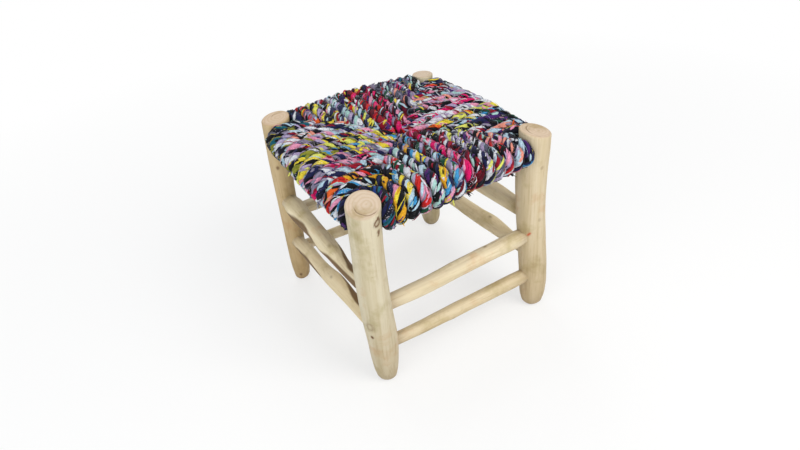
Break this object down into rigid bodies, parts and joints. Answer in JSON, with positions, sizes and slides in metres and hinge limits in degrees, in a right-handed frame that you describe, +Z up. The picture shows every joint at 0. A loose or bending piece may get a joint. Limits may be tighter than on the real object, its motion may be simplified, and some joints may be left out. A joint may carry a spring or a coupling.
{
  "type": "moroccan kursi stool",
  "caption": "Low square stool of peeled pole legs and paired side rungs, with a seat wound from twisted rag rope in four mitred quarters.",
  "frame": {"origin": "on the floor under the middle of the stool's bounds", "axes": "+Z up, the front is -Y and the left side is -X"},
  "size_m": [0.3228, 0.3276, 0.3106],
  "materials": {
    "peeled_wood": "raw, hand-peeled, satin where worn",
    "rung_wood": "raw, hand-shaved",
    "rag_rope": "twisted strips of mixed coloured cloth, matt",
    "rag_stuffing": "packed cloth, matt"
  },
  "bodies": {
    "root": {"front_left_leg": "peeled_wood", "front_right_leg": "peeled_wood", "back_right_leg": "peeled_wood", "back_left_leg": "peeled_wood", "front_upper_rung": "rung_wood", "front_lower_rung": "rung_wood", "back_upper_rung": "rung_wood", "back_lower_rung": "rung_wood", "left_upper_rung": "rung_wood", "left_lower_rung": "rung_wood", "right_upper_rung": "rung_wood", "right_lower_rung": "rung_wood", "front_seat_rail": "rung_wood", "back_seat_rail": "rung_wood", "left_seat_rail": "rung_wood", "right_seat_rail": "rung_wood", "rope_seat": "rag_rope", "seat_stuffing": "rag_stuffing"}
  },
  "joints": []
}
